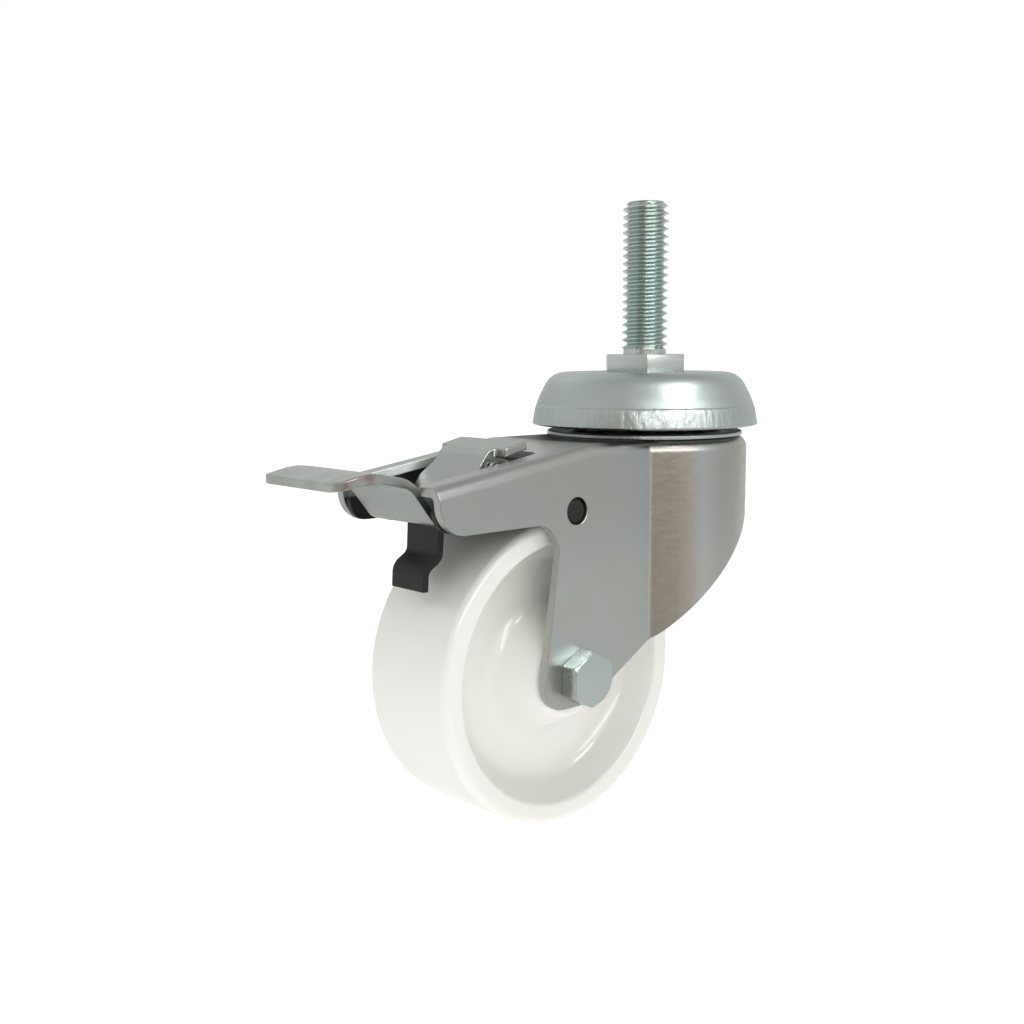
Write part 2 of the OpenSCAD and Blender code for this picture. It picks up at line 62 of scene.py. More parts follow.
def trace(name, points, closed=False):
    """A wire drawn through the points, in millimetres, and filled if it is closed."""
    bpy.ops.object.select_all(action="DESELECT")
    bpy.ops.mesh.primitive_plane_add(size=mm, location=(0, 0, 0))
    piece = bpy.context.object
    piece.name = piece.data.name = name
    bpy.ops.object.mode_set(mode="EDIT")
    bpy.ops.mesh.select_mode(type="VERT")
    bpy.ops.mesh.select_all(action="SELECT")
    bpy.ops.mesh.merge(type="CENTER")
    path = [Vector(point) * mm for point in points]
    bpy.ops.transform.translate(value=path[0])
    for a, b in zip(path, path[1:]):
        bpy.ops.mesh.extrude_region_move(TRANSFORM_OT_translate={"value": b - a})
    bpy.ops.mesh.select_all(action="SELECT")
    if closed:
        bpy.ops.mesh.edge_face_add()
    return piece


def settle(piece):
    """Out of edit mode, with doubles merged and every face turned outwards."""
    if piece.mode != "EDIT":
        pick(piece)
        bpy.ops.object.mode_set(mode="EDIT")
    bpy.ops.mesh.select_all(action="SELECT")
    bpy.ops.mesh.remove_doubles(threshold=0.002 * mm)
    bpy.ops.mesh.normals_make_consistent(inside=False)
    bpy.ops.object.mode_set(mode="OBJECT")
    return piece


def lathe(name, profile, axis="Z", centre=(0, 0, 0), steps=96):
    """A turned piece, from (radius, height) points in millimetres round Z or Y."""
    c = Vector(centre)
    turned = [c + Vector((r, 0, h) if axis == "Z" else (r, h, 0)) for r, h in profile]
    piece = trace(name, turned)
    bpy.ops.mesh.spin(
        steps=steps, angle=2 * math.pi, center=c * mm,
        axis=(0, 0, 1) if axis == "Z" else (0, 1, 0))
    return settle(piece)


def apply_modifier(piece, kind, **settings):
    """One modifier, set and applied."""
    pick(piece)
    modifier = piece.modifiers.new(kind.title(), kind)
    for key, value in settings.items():
        setattr(modifier, key, value)
    bpy.ops.object.modifier_apply(modifier=modifier.name)
    return piece


def cut(piece, tool, how="DIFFERENCE"):
    """Cuts, joins or trims a piece with a tool, which is then thrown away."""
    apply_modifier(piece, "BOOLEAN", object=tool, operation=how, solver="EXACT")
    bpy.data.objects.remove(tool, do_unlink=True)
    return piece


def finish_edges(piece, width, segments=2, angle=32):
    """Breaks the edges sharper than angle, as tumbling does, and shades the rest smooth."""
    pick(piece)
    bpy.ops.object.mode_set(mode="EDIT")
    bpy.ops.mesh.select_all(action="SELECT")
    bpy.ops.mesh.remove_doubles(threshold=0.02 * mm)
    bpy.ops.mesh.dissolve_limited(angle_limit=math.radians(0.4))
    bpy.ops.object.mode_set(mode="OBJECT")
    apply_modifier(
        piece, "BEVEL", width=width * mm, segments=segments, limit_method="ANGLE",
        angle_limit=math.radians(angle), use_clamp_overlap=False, miter_outer="MITER_ARC")
    bpy.ops.object.shade_smooth()
    apply_modifier(piece, "WEIGHTED_NORMAL", keep_sharp=False, weight=60)
    return piece


def smooth(piece, angle=30):
    """Shades a piece smooth and leaves the edges sharper than angle as they are."""
    pick(piece)
    bpy.ops.object.shade_smooth_by_angle(angle=math.radians(angle))
    return piece


def wear(piece, material):
    """Gives a finished piece, or a CAD node, its material."""
    piece.data.materials.clear()
    piece.data.materials.append(material)
    return piece


def new_finish(name, metallic=0.0):
    """A material whose patterns are laid out by the place on the piece."""
    material = bpy.data.materials.new(name)
    material.use_nodes = True
    material.node_tree.nodes.new("ShaderNodeTexCoord")
    shader = material.node_tree.nodes["Principled BSDF"]
    shader.inputs["Metallic"].default_value = metallic
    return material


def noise(material, scale, detail=2, stretch=None, distortion=0):
    """Noise over the piece, drawn out along the axes where stretch is small."""
    tree = material.node_tree
    place = tree.nodes["Texture Coordinate"].outputs["Object"]
    if stretch:
        drawn = tree.nodes.new("ShaderNodeMapping")
        drawn.inputs["Scale"].default_value = stretch
        tree.links.new(place, drawn.inputs["Vector"])
        place = drawn.outputs["Vector"]
    grain = tree.nodes.new("ShaderNodeTexNoise")
    grain.inputs["Scale"].default_value = scale
    grain.inputs["Detail"].default_value = detail
    grain.inputs["Distortion"].default_value = distortion
    tree.links.new(place, grain.inputs["Vector"])
    return grain.outputs["Fac"]


def spread(owner, value, low, high, start=0.0, stop=1.0, eased=False):
    """A level that goes from low to high as the value goes from start to stop."""
    tree = owner.node_tree
    level = tree.nodes.new("ShaderNodeMapRange")
    if eased:
        level.interpolation_type = "SMOOTHSTEP"
    level.inputs["From Min"].default_value = start
    level.inputs["From Max"].default_value = stop
    level.inputs["To Min"].default_value = low
    level.inputs["To Max"].default_value = high
    tree.links.new(value, level.inputs["Value"])
    return level.outputs["Result"]


def product(owner, *levels):
    """Several levels multiplied together."""
    tree = owner.node_tree
    out = levels[0]
    for other in levels[1:]:
        times = tree.nodes.new("ShaderNodeMath")
        times.operation = "MULTIPLY"
        tree.links.new(out, times.inputs[0])
        tree.links.new(other, times.inputs[1])
        out = times.outputs["Value"]
    return out


def two_tones(material, level, first, second, start=0.0, stop=1.0):
    """Colours the piece, from the first tone to the second as the level rises."""
    tree = material.node_tree
    tone = tree.nodes.new("ShaderNodeValToRGB")
    ends = tone.color_ramp.elements
    ends[0].position = start
    ends[0].color = (*first, 1)
    ends[1].position = stop
    ends[1].color = (*second, 1)
    tree.links.new(level, tone.inputs["Fac"])
    tree.links.new(tone.outputs["Color"], tree.nodes["Principled BSDF"].inputs["Base Color"])


def drive(material, socket, level, low, high):
    """Lets a level move one of the finish's settings from low to high."""
    tree = material.node_tree
    shader = tree.nodes["Principled BSDF"]
    tree.links.new(spread(material, level, low, high), shader.inputs[socket])


def emboss(material, level, depth, strength=1.0):
    """Raises the surface by depth, in millimetres, where the level is high."""
    tree = material.node_tree
    normal = tree.nodes["Principled BSDF"].inputs["Normal"]
    bump = tree.nodes.new("ShaderNodeBump")
    bump.inputs["Strength"].default_value = strength
    bump.inputs["Distance"].default_value = depth * mm
    tree.links.new(level, bump.inputs["Height"])
    if normal.links:
        tree.links.new(normal.links[0].from_socket, bump.inputs["Normal"])
    tree.links.new(bump.outputs["Normal"], normal)


def stain(material, level, colour):
    """Mixes a colour into what the piece already has."""
    tree = material.node_tree
    base = tree.nodes["Principled BSDF"].inputs["Base Color"]
    mix = tree.nodes.new("ShaderNodeMix")
    mix.data_type = "RGBA"
    tree.links.new(level, mix.inputs["Factor"])
    tree.links.new(base.links[0].from_socket, mix.inputs["A"])
    mix.inputs["B"].default_value = (*colour, 1)
    tree.links.new(mix.outputs["Result"], base)


def across_piece(material, axis, start, stop, high=1.0):
    """A level that goes from nothing to high with the place on the piece, in millimetres
    along one axis; with the axis R it is the distance from the swivel axis."""
    tree = material.node_tree
    place = tree.nodes["Texture Coordinate"].outputs["Object"]
    if axis == "R":
        flat = tree.nodes.new("ShaderNodeVectorMath")
        flat.operation = "MULTIPLY"
        flat.inputs[1].default_value = (1, 1, 0)
        tree.links.new(place, flat.inputs[0])
        span = tree.nodes.new("ShaderNodeVectorMath")
        span.operation = "LENGTH"
        tree.links.new(flat.outputs["Vector"], span.inputs[0])
        value = span.outputs["Value"]
    else:
        apart = tree.nodes.new("ShaderNodeSeparateXYZ")
        tree.links.new(place, apart.inputs["Vector"])
        value = apart.outputs[axis]
    low_end, high_end = (0.0, high) if start < stop else (high, 0.0)
    return spread(
        material, value, low_end, high_end, min(start, stop) * mm, max(start, stop) * mm,
        eased=True)


def streaks(material, scale, stretch, high=1.0):
    """Clear streaks or spots, up to high, drawn out along the axes where stretch is small."""
    return spread(material, noise(material, scale, 3, stretch), 0.0, high, 0.35, 0.65)


def zinc_plating(name, tint, warm, gloss, grain, warm_share=0.5, peel=0.16):
    """Zinc plating: cool bright metal with faint warm clouds and fine drawn lines."""
    material = new_finish(name, metallic=1.0)
    clouds = noise(material, 55, 5, distortion=0.6)
    two_tones(material, clouds, tint, warm, 0.30, 0.30 + warm_share)
    lines = noise(material, 180, 4, grain)
    drive(material, "Roughness", lines, gloss - 0.09, gloss + 0.11)
    orange_peel = noise(material, 900, 3)
    emboss(material, orange_peel, 0.12, peel)
    return material


bar_zinc = zinc_plating(
    "zinc plated bar", tint=(0.52, 0.60, 0.59), warm=(0.58, 0.59, 0.55), gloss=0.27,
    grain=(1, 1, 6), peel=0.07)
# Painted shade: a darker teal in the roots of the thread, where the grooves are shaded
painted_groove_shade = product(
    bar_zinc, across_piece(bar_zinc, "Z", 0.5, 1.5),
    across_piece(bar_zinc, "R", 6.2, 5.2, high=0.45))
stain(bar_zinc, painted_groove_shade, (0.22, 0.37, 0.36))

# The thread: one pitch of the rolled profile, wound up the stem and trimmed to a turned blank
root = stem_radius - thread_depth
p = thread_pitch
thread = trace("stem", [
    (root, 0, -2.0 * p), (root, 0, -1.86 * p), (stem_radius, 0, -1.56 * p),
    (stem_radius, 0, -1.44 * p), (root, 0, -1.14 * p), (root, 0, -1.0 * p)])
bpy.ops.object.mode_set(mode="OBJECT")
apply_modifier(
    thread, "SCREW", axis="Z", angle=2 * math.pi, screw_offset=p * mm, steps=48,
    render_steps=48, iterations=24, use_merge_vertices=True, merge_threshold=0.003 * mm,
    use_smooth_shade=False)
bpy.ops.object.mode_set(mode="EDIT")
for height, below in ((0.2, True), (stem_length + 1, False)):
    bpy.ops.mesh.select_all(action="SELECT")
    bpy.ops.mesh.bisect(
        plane_co=(0, 0, height * mm), plane_no=(0, 0, 1), use_fill=True,
        clear_inner=below, clear_outer=not below)
settle(thread)
blank = lathe("stem blank", [
    (0, 1.0), (stem_radius + 1, 1.0), (stem_radius + 1, stem_length - 2.3),
    (stem_radius - 1.45, stem_length), (0, stem_length)])
cut(thread, blank, "INTERSECT")
neck = lathe("stem neck", [
    (0, -2.0), (stem_radius - 0.35, -2.0), (stem_radius - 0.35, 1.35), (stem_radius - 1.2, 2.0),
    (0, 2.0)])
cut(thread, neck, "UNION")


def hex_bar(name, flats, low, high, coned=(), axis="Z", turn=0, centre=(0, 0, 0)):
    """A hexagon bar along Z or Y. At the ends whose heights are in coned, its corners are
    turned off at 30 degrees."""
    upright = axis == "Z"
    along = Vector((0, 0, 1)) if upright else Vector((0, 1, 0))
    turn = math.radians(turn)
    corner = flats / math.sqrt(3)
    bpy.ops.object.select_all(action="DESELECT")
    bpy.ops.mesh.primitive_cylinder_add(
        vertices=6, radius=corner * mm, depth=(high - low) * mm,
        location=(Vector(centre) + along * (low + high) / 2) * mm,
        rotation=(0, 0, turn) if upright else (math.pi / 2, turn, 0))
    piece = bpy.context.object
    piece.name = piece.data.name = name
    bpy.ops.object.transform_apply(location=True, rotation=True, scale=True)
    edge = flats / 2 - 0.1
    wide = corner + 0.35
    drop = (wide - edge) * math.tan(math.radians(30))
    profile = [(0, low)]
    profile += [(edge, low), (wide, low + drop)] if low in coned else [(wide, low)]
    profile += [(wide, high - drop), (edge, high)] if high in coned else [(wide, high)]
    profile += [(0, high)]
    return cut(piece, lathe(name + " cone", profile, axis, centre, steps=72), "INTERSECT")


collar = hex_bar("collar", collar_flats, -collar_height - collar_sunk, 0, turn=16)
finish_edges(collar, 0.3, segments=3, angle=14)
kingpin = lathe("kingpin", [
    (0, -4.0), (kingpin_radius, -4.0), (kingpin_radius, -34.6), (7.6, -34.8), (8.0, -35.3),
    (7.6, -36.0), (5.6, -36.7), (0, -36.9)])
cut(kingpin, collar, "UNION")
stem = cut(thread, kingpin, "UNION")
smooth(stem, 24)
wear(stem, bar_zinc)
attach(stem, "head")
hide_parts("stem_stud")


# Ball head
# A drawn cup over two rows of balls, with its upper race under it, and the lower cup, the
# toothed lock ring and a washer held up by the peened kingpin. Zinc plated sheet.

cup_sheet = 2.2
cup_rim = -collar_height - 14.3
plate_top = -21.2
crown_top = -22.4


def rounded(points, step=12):
    """The points of an outline, with each (x, z, radius) corner drawn as a true arc."""
    out = []
    for i, (x, z, r) in enumerate(points):
        here = Vector((x, z))
        before = Vector(points[i - 1][:2])
        after = Vector(points[(i + 1) % len(points)][:2])
        u, v = (here - before).normalized(), (after - here).normalized()
        turn = math.atan2(u.x * v.y - u.y * v.x, u.dot(v))
        if r <= 0 or abs(turn) < 0.02:
            out.append((x, z))
            continue
        side = 1 if turn > 0 else -1
        start = here - u * r * math.tan(abs(turn) / 2)
        hub = start + Vector((-u.y, u.x)) * side * r
        arm = start - hub
        parts = max(2, round(math.degrees(abs(turn)) / step))
        for k in range(parts + 1):
            w = side * abs(turn) * k / parts
            out.append((
                hub.x + arm.x * math.cos(w) - arm.y * math.sin(w),
                hub.y + arm.x * math.sin(w) + arm.y * math.cos(w)))
    return out


def bent_sheet(path, bends, thick, ends=0.0):
    """The closed outline, seen edge-on, of a sheet bent along a middle line."""
    sides = []
    last = len(path) - 1
    for s in (thick / 2, -thick / 2):
        edge = []
        for i, point in enumerate(path):
            u = (Vector(path[max(i, 1)]) - Vector(path[max(i, 1) - 1])).normalized()
            j = min(i, last - 1)
            v = (Vector(path[j + 1]) - Vector(path[j])).normalized()
            q = Vector(point) - Vector((-u.y - v.y, u.x + v.x)) * s / (1 + u.dot(v))
            outer = s if u.x * v.y - u.y * v.x > 0 else -s
            edge.append((q.x, q.y, bends[i - 1] + outer if 0 < i < last else ends))
        sides.append(edge)
    return rounded(sides[0] + sides[1][::-1])


cup_zinc = zinc_plating(
    "zinc plated cup", tint=(0.45, 0.51, 0.50), warm=(0.50, 0.53, 0.51), gloss=0.38,
    grain=(1, 1, 3), warm_share=0.7)

# Below a fine drawn line the cup's skirt is left as the die hammered it
emboss(cup_zinc, across_piece(cup_zinc, "Z", -14.0, -14.5), 0.16)
hammered = product(
    cup_zinc, across_piece(cup_zinc, "Z", -13.8, -14.8), streaks(cup_zinc, 520, (1, 1, 0.4)))
emboss(cup_zinc, hammered, 0.11)
cup_path = [
    (6.1, -7.25), (13.4, -7.25), (21.3, -5.85), (25.9, -6.35), (28.85, -12.2), (30.0, -15.4),
    (30.75, cup_rim - 0.02)]
cup_section = bent_sheet(cup_path, [2, 8, 5.2, 9, 1.5], cup_sheet, ends=0.45)
cup = lathe("ball_head_cup", cup_section + cup_section[:1], steps=160)
smooth(cup, 35)
wear(cup, cup_zinc)
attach(cup, "head")
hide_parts("swivel_cup")

plate_section = rounded([
    (9.0, crown_top, 0.2), (27.6, crown_top, 0.2), (27.6, plate_top, 0.5),
    (23.6, plate_top, 0), (21.2, plate_top - 0.5, 0), (17.8, plate_top - 0.5, 0),
    (15.4, plate_top, 0), (9.0, plate_top, 0.2)])
race_plate = lathe("race_track", plate_section + plate_section[:1], steps=128)
smooth(race_plate, 35)
wear(race_plate, cup_zinc)
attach(race_plate, "fork")
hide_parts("race_plate")

ball_steel = new_finish("ball steel", metallic=1.0)
shader = ball_steel.node_tree.nodes["Principled BSDF"]
shader.inputs["Base Color"].default_value = (0.72, 0.73, 0.74, 1)
drive(ball_steel, "Roughness", noise(ball_steel, 240), 0.10, 0.34)
for name in ("upper_balls", "lower_balls"):
    wear(solid[name], ball_steel)
for name in ("upper_race", "lower_cup", "lock_ring", "kingpin_washer"):
    wear(solid[name], cup_zinc)


# Fork
# One pressing of 2.5 mm steel: a flat crown, a round nose, two legs down to the axle and two
# flanged arms that reach back either side of the pedal. Zinc plated after forming.

fork_sheet = 2.5
nose_radius = 28.9
leg_out = 20.8
arm_start = -42.0
arm_slope = math.radians(8.5)
axle = Vector((-45.8, 0, -81.2))
axle_hole = 4.2
stud = Vector((-47.1, 0, -38.7))
stud_hole = 3.45

fork_zinc = zinc_plating(
    "zinc plated fork", tint=(0.47, 0.50, 0.48), warm=(0.48, 0.48, 0.45), gloss=0.34,
    grain=(0.5, 3, 5), warm_share=0.45)
# Painted shade: the fork grows darker towards its top, from the legs up over the crown and arms
stain(fork_zinc, across_piece(fork_zinc, "Z", -62, -34, high=0.26), (0.26, 0.28, 0.26))
# Warm brown streaks down the nose: streaks in the plating and a painted reflection of the warm room
# behind the camera
nose_streaks_and_reflection = product(
    fork_zinc, across_piece(fork_zinc, "X", -21.0, -19.6, high=0.6),
    streaks(fork_zinc, 85, (1, 1, 0.06)))
stain(fork_zinc, nose_streaks_and_reflection, (0.38, 0.33, 0.28))

# Painted shade and a painted dark reflection on the crown, behind the nose and under the cup's
# overhang: it is dark, and no longer shines like metal
painted_crown_shade = product(
    fork_zinc, across_piece(fork_zinc, "R", 46, 38), across_piece(fork_zinc, "Z", -24.0, -23.0),
    across_piece(fork_zinc, "X", -14, -19))
stain(fork_zinc, painted_crown_shade, (0.03, 0.03, 0.03))
drive(fork_zinc, "Metallic", painted_crown_shade, 1.0, 0.0)
drive(fork_zinc, "Specular IOR Level", painted_crown_shade, 0.5, 0.05)

# A fine speckle in the plating round the nose
speckle = product(
    fork_zinc, across_piece(fork_zinc, "X", -24, -18), streaks(fork_zinc, 700, (1, 1, 1)))
emboss(fork_zinc, speckle, 0.02)

sheared = zinc_plating(
    "zinc plated sheared edge", tint=(0.84, 0.88, 0.86), warm=(0.70, 0.72, 0.70), gloss=0.50,
    grain=(1, 1, 1), peel=0.5)


def fork_form(name, inset, bend):
    """The fork as a solid block, its skin moved in by inset: a D-shaped prism whose roof
    slopes down behind the legs, with its top edges rounded."""
    back = -110
    r = nose_radius - inset
    w = leg_out - inset
    corner = -math.sqrt(r * r - w * w)
    first = math.atan2(-w, corner) + 2 * math.pi
    parts = 56
    arc = []
    for k in range(parts + 1):
        a = first + (4 * math.pi - 2 * first) * k / parts
        arc.append((r * math.cos(a), r * math.sin(a)))
    crease = arm_start - inset * math.tan(arm_slope / 2)
    plan = arc + [(crease, w), (back, w), (back, -w), (crease, -w)]
    top = crown_top - inset
    form = trace(name, [(x, y, top) for x, y in plan], closed=True)
    bpy.ops.mesh.extrude_region_move(TRANSFORM_OT_translate={"value": (0, 0, -90 * mm)})

    # The upright crease where the nose goes over into the legs
    bpy.ops.mesh.select_all(action="DESELECT")
    bpy.ops.mesh.select_mode(type="EDGE")
    bpy.ops.object.mode_set(mode="OBJECT")
    for e in form.data.edges:
        ends = [form.data.vertices[i].co / mm for i in e.vertices]
        e.select = all(abs(v.x - corner) < 0.01 and abs(abs(v.y) - w) < 0.01 for v in ends)
    bpy.ops.object.mode_set(mode="EDIT")
    bpy.ops.mesh.bevel(offset=0.7 * mm, segments=4, affect="EDGES")

    # The slope of the arms, from the back of the crown
    bpy.ops.mesh.select_mode(type="VERT")
    bpy.ops.mesh.select_all(action="SELECT")
    bpy.ops.mesh.bisect(plane_co=(crease * mm, 0, 0), plane_no=(1, 0, 0))
    settle(form)
    bpy.ops.object.mode_set(mode="EDIT")
    bpy.ops.mesh.select_all(action="DESELECT")
    bpy.ops.mesh.select_mode(type="VERT")
    bpy.ops.object.mode_set(mode="OBJECT")
    for v in form.data.vertices:
        v.select = v.co.z > (top - 0.1) * mm and v.co.x < (back + 1) * mm
    bpy.ops.object.mode_set(mode="EDIT")
    drop = (crease - back) * math.tan(arm_slope)
    bpy.ops.transform.translate(value=(0, 0, -drop * mm))

    # The bend all round the roof
    bpy.ops.mesh.select_all(action="DESELECT")
    bpy.ops.mesh.select_mode(type="EDGE")
    bpy.ops.object.mode_set(mode="OBJECT")
    roof = {v.index for v in form.data.vertices if v.co.z > (top - 20) * mm}
    for e in form.data.edges:
        a, b = (form.data.vertices[i].co for i in e.vertices)
        across = abs(a.x - b.x) < 0.01 * mm and abs(a.y - b.y) > 10 * mm
        e.select = e.vertices[0] in roof and e.vertices[1] in roof and not across
    bpy.ops.object.mode_set(mode="EDIT")
    bpy.ops.mesh.bevel(offset=bend * mm, segments=7, affect="EDGES", clamp_overlap=False)
    return settle(form)


def prism(name, outline, low, high, along="Y"):
    """A flat outline pushed out along one axis, from low to high in millimetres."""
    place, push = {
        "X": (lambda a, b: (low, a, b), Vector((1, 0, 0))),
        "Y": (lambda a, b: (a, low, b), Vector((0, 1, 0))),
        "Z": (lambda a, b: (a, b, low), Vector((0, 0, 1)))}[along]
    piece = trace(name, [place(a, b) for a, b in outline], closed=True)
    bpy.ops.mesh.extrude_region_move(TRANSFORM_OT_translate={"value": push * (high - low) * mm})
    return settle(piece)


def drill(centre, radius):
    """A drill along Y, long enough for every piece."""
    return lathe("drill", [(0, -30), (radius, -30), (radius, 30), (0, 30)], "Y", centre, 64)


def sheared_by(tool):
    """The faces that this tool cuts get the sheared edge's finish."""
    tool.data.materials.append(fork_zinc)
    tool.data.materials.append(sheared)
    for face in tool.data.polygons:
        face.material_index = 1
    return tool


fork = fork_form("fork_pressing", 0, 3.5)
fork.data.materials.append(fork_zinc)
fork.data.materials.append(sheared)
cut(fork, fork_form("fork inside", fork_sheet, 1.0))
side_outline = rounded([
    (34, -14, 0), (-92.3, -14, 0), (-90.1, -41.3, 7.5), (-52.0, -41.3, 7.5), (-59.2, -89.0, 6.5),
    (-42.6, -89.0, 8), (-18.5, -74.9, 24), (20, -42.7, 12), (34, -42.7, 0)], 8)
cut(fork, prism("fork side", side_outline, -40, 40), "INTERSECT")
slot_outline = rounded([(-115, -13.5, 0), (-52.5, -13.5, 4), (-52.5, 13.5, 4), (-115, 13.5, 0)])
cut(fork, sheared_by(prism("arm slot", slot_outline, -50, -10, "Z")))
cut(fork, lathe("kingpin hole", [(0, -30), (9, -30), (9, -20), (0, -20)], steps=64))
cut(fork, drill(axle, axle_hole))
cut(fork, drill(stud, stud_hole))
finish_edges(fork, 0.32, segments=3, angle=34)
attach(fork, "fork")
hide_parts("fork")

# The bracket under the crown that carries the pedal, and its riveted pin
wear(solid["brake_bracket"], fork_zinc)
wear(solid["pedal_pin"], bar_zinc)


# Brake pedal
# A zinc plated pressing that rocks on a pin between the arms. Its foot plate sticks out
# behind, and the wide tab over the pin is trodden on to let the brake off.

pedal_sheet = 2.2
pedal_blank_half = 16.5
pin = Vector((-61.5, 0, -30.2))
pin_hole = 2.55
ear_inside = 7.2
ear_outside = 9.2

pedal_zinc = zinc_plating(
    "zinc plated pedal", tint=(0.39, 0.43, 0.41), warm=(0.41, 0.40, 0.37), gloss=0.33,
    grain=(4, 1, 1), warm_share=0.5)
worn_bright = product(
    pedal_zinc, across_piece(pedal_zinc, "X", -92, -97),
    streaks(pedal_zinc, 230, (0.05, 1, 1), high=0.6))
stain(pedal_zinc, worn_bright, (0.50, 0.54, 0.51))
brown_edge = product(
    pedal_zinc, across_piece(pedal_zinc, "Y", -13.6, -14.9),
    across_piece(pedal_zinc, "X", -101, -107), streaks(pedal_zinc, 260, (1, 1, 1), high=0.8))
stain(pedal_zinc, brown_edge, (0.26, 0.17, 0.15))

pedal_path = [
    (-118, -29.3), (-105.5, -26.6), (-93.0, -29.2), (-84.8, -39.63), (-75.2, -36.88),
    (-65.84, -24.2), (-56.7, -22.2)]
pedal_section = bent_sheet(pedal_path, [14, 8, 3, 10, 3], pedal_sheet)
pedal = prism("foot_pedal", pedal_section, -pedal_blank_half, pedal_blank_half)

# The plan is the same on both sides of the middle, but for the foot plate's far corner
half_plan = [
    (-114.4, -15.6, 5), (-103, -15.4, 9), (-94, -13, 9), (-86, -13, 2), (-84.5, -12, 2),
    (-71.5, -12, 1.5), (-68.9, -9.2, 1.2), (-63.9, -9.2, 0.8), (-63.9, -12.6, 0.8), (-50, -12.6, 0)]
far_corner = (-114.4, 15.6, 1.2)
plan = half_plan + [(x, -y, r) for x, y, r in half_plan[:0:-1]] + [far_corner]
cut(pedal, prism("pedal plan", rounded(plan), -60, -10, "Z"), "INTERSECT")
ear = rounded([(-69.2, -32.6, 0), (-60.1, -34.4, 3.5), (-57.1, -26.8, 3.5), (-65.2, -24.3, 0)])
for low, high in ((-ear_outside, -ear_inside), (ear_inside, ear_outside)):
    cut(pedal, prism("pedal ear", ear, low, high), "UNION")
window = rounded([(-85.5, -6.9, 1.2), (-71.6, -6.9, 1.2), (-71.6, 6.9, 1.2), (-85.5, 6.9, 1.2)])
cut(pedal, prism("pedal window", window, -44, -32.4, "Z"))
cut(pedal, drill(pin, pin_hole))
finish_edges(pedal, 0.36, segments=3)
wear(pedal, pedal_zinc)
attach(pedal, "pedal")
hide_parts("brake_pedal")


# Brake lever
# A black spring steel lever that swings on two studs in the legs. Its tail is pressed on the
# tread, and the tooth at its front goes up between the teeth of the lock ring.

lever_sheet = 1.8
lever_blank_half = 12
saddle_back = -52.6
saddle_front = -42.6
cheek_inside = 16.2
cheek_outside = 18.0
stud_radius = 3.35
stud_end = 20.2

black_coat = new_finish("black coating")
shader = black_coat.node_tree.nodes["Principled BSDF"]
shader.inputs["Specular IOR Level"].default_value = 0.28
mottle = noise(black_coat, 160, 4)
two_tones(black_coat, mottle, (0.008, 0.008, 0.008), (0.018, 0.018, 0.018))
drive(black_coat, "Roughness", mottle, 0.36, 0.56)
pits = noise(black_coat, 1400)
emboss(black_coat, pits, 0.1, 0.2)

lever_path = [
    (-17.2, -37.2), (-17.2, -39.4), (-25, -39.4), (-40, -36.5), (-78.6, -35.3),
    (-79.3, -48.6), (-83.7, -51.4), (-84, -56.6)]
lever_section = bent_sheet(lever_path, [2.2, 12, 12, 3.2, 3, 3], lever_sheet)
lever = prism("locking_lever", lever_section, -lever_blank_half, lever_blank_half)
half_plan = [
    (-90, -6.3, 0), (-69.9, -6.3, 1), (-68.4, -11, 1.5), (-34, -11, 5), (-25, -4.5, 4),
    (-20, -1, 1), (-10, -1, 0)]
plan = half_plan + [(x, -y, r) for x, y, r in half_plan[::-1]]
cut(lever, prism("lever plan", rounded(plan), -70, -20, "Z"), "INTERSECT")

# The saddle over the wheel carries the studs, and a cheek runs back from it on each side
saddle_section = bent_sheet(
    [(-17.1, -52), (-17.1, -36.5), (17.1, -36.5), (17.1, -52)], [2, 2], lever_sheet)
saddle = prism("lever saddle", saddle_section, saddle_back, saddle_front, "X")
saddle_side = rounded([
    (-41.6, -33.5, 0), (-53.6, -33.5, 0), (-51.7, -43.3, 4.2), (-42.7, -43.3, 4.2)])
cut(saddle, prism("saddle side", saddle_side, -25, 25), "INTERSECT")
cut(lever, saddle, "UNION")
cheek = rounded([(-46, -34.8, 0), (-90.2, -35.0, 0.8), (-88.7, -40.9, 4.2), (-48, -40.9, 1)])
for low, high in ((-cheek_outside, -cheek_inside), (cheek_inside, cheek_outside)):
    cut(lever, prism("lever cheek", cheek, low, high), "UNION")
cut(lever, drill(stud, stud_radius))
finish_edges(lever, 0.25, segments=2)
wear(lever, black_coat)
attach(lever, "lever")
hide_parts("brake_lever")


def turned_pair(name, profile, centre, steps):
    """One turned piece on the far side, as the profile gives it, and its like on the near."""
    near = lathe(name, [(r, -h) for r, h in profile], "Y", centre, steps)
    return cut(near, lathe(name + " far", profile, "Y", centre, steps), "UNION")


studs = turned_pair("pivot_studs", [
    (0, stud_end), (stud_radius - 0.55, stud_end), (stud_radius, stud_end - 0.5),
    (stud_radius, cheek_inside), (0, cheek_inside)], stud, 48)
smooth(studs)
wear(studs, black_coat)
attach(studs, "lever")
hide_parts("lever_studs")


# Wheel
# One moulding of hard white nylon: a flat tread with rounded edges, a dished web on each
# side and a hub that is a little wider than the tread.

wheel_radius = 40
wheel_bore = 6.05
tread_half = 15.6
hub_half = 17.1
web_half = 6.2

nylon = new_finish("white nylon")
shader = nylon.node_tree.nodes["Principled BSDF"]
shader.inputs["Subsurface Weight"].default_value = 0.25
shader.inputs["Subsurface Radius"].default_value = (0.9, 0.9, 0.8)
shader.inputs["Subsurface Scale"].default_value = 0.0025
shader.inputs["IOR"].default_value = 1.53
shader.inputs["Coat Weight"].default_value = 0.55
shader.inputs["Coat Roughness"].default_value = 0.07
cloud = noise(nylon, 40, 3)
two_tones(nylon, cloud, (0.82, 0.82, 0.77), (0.86, 0.86, 0.83))
drive(nylon, "Roughness", cloud, 0.28, 0.42)
ripple = noise(nylon, 260)
emboss(nylon, ripple, 0.15, 0.12)

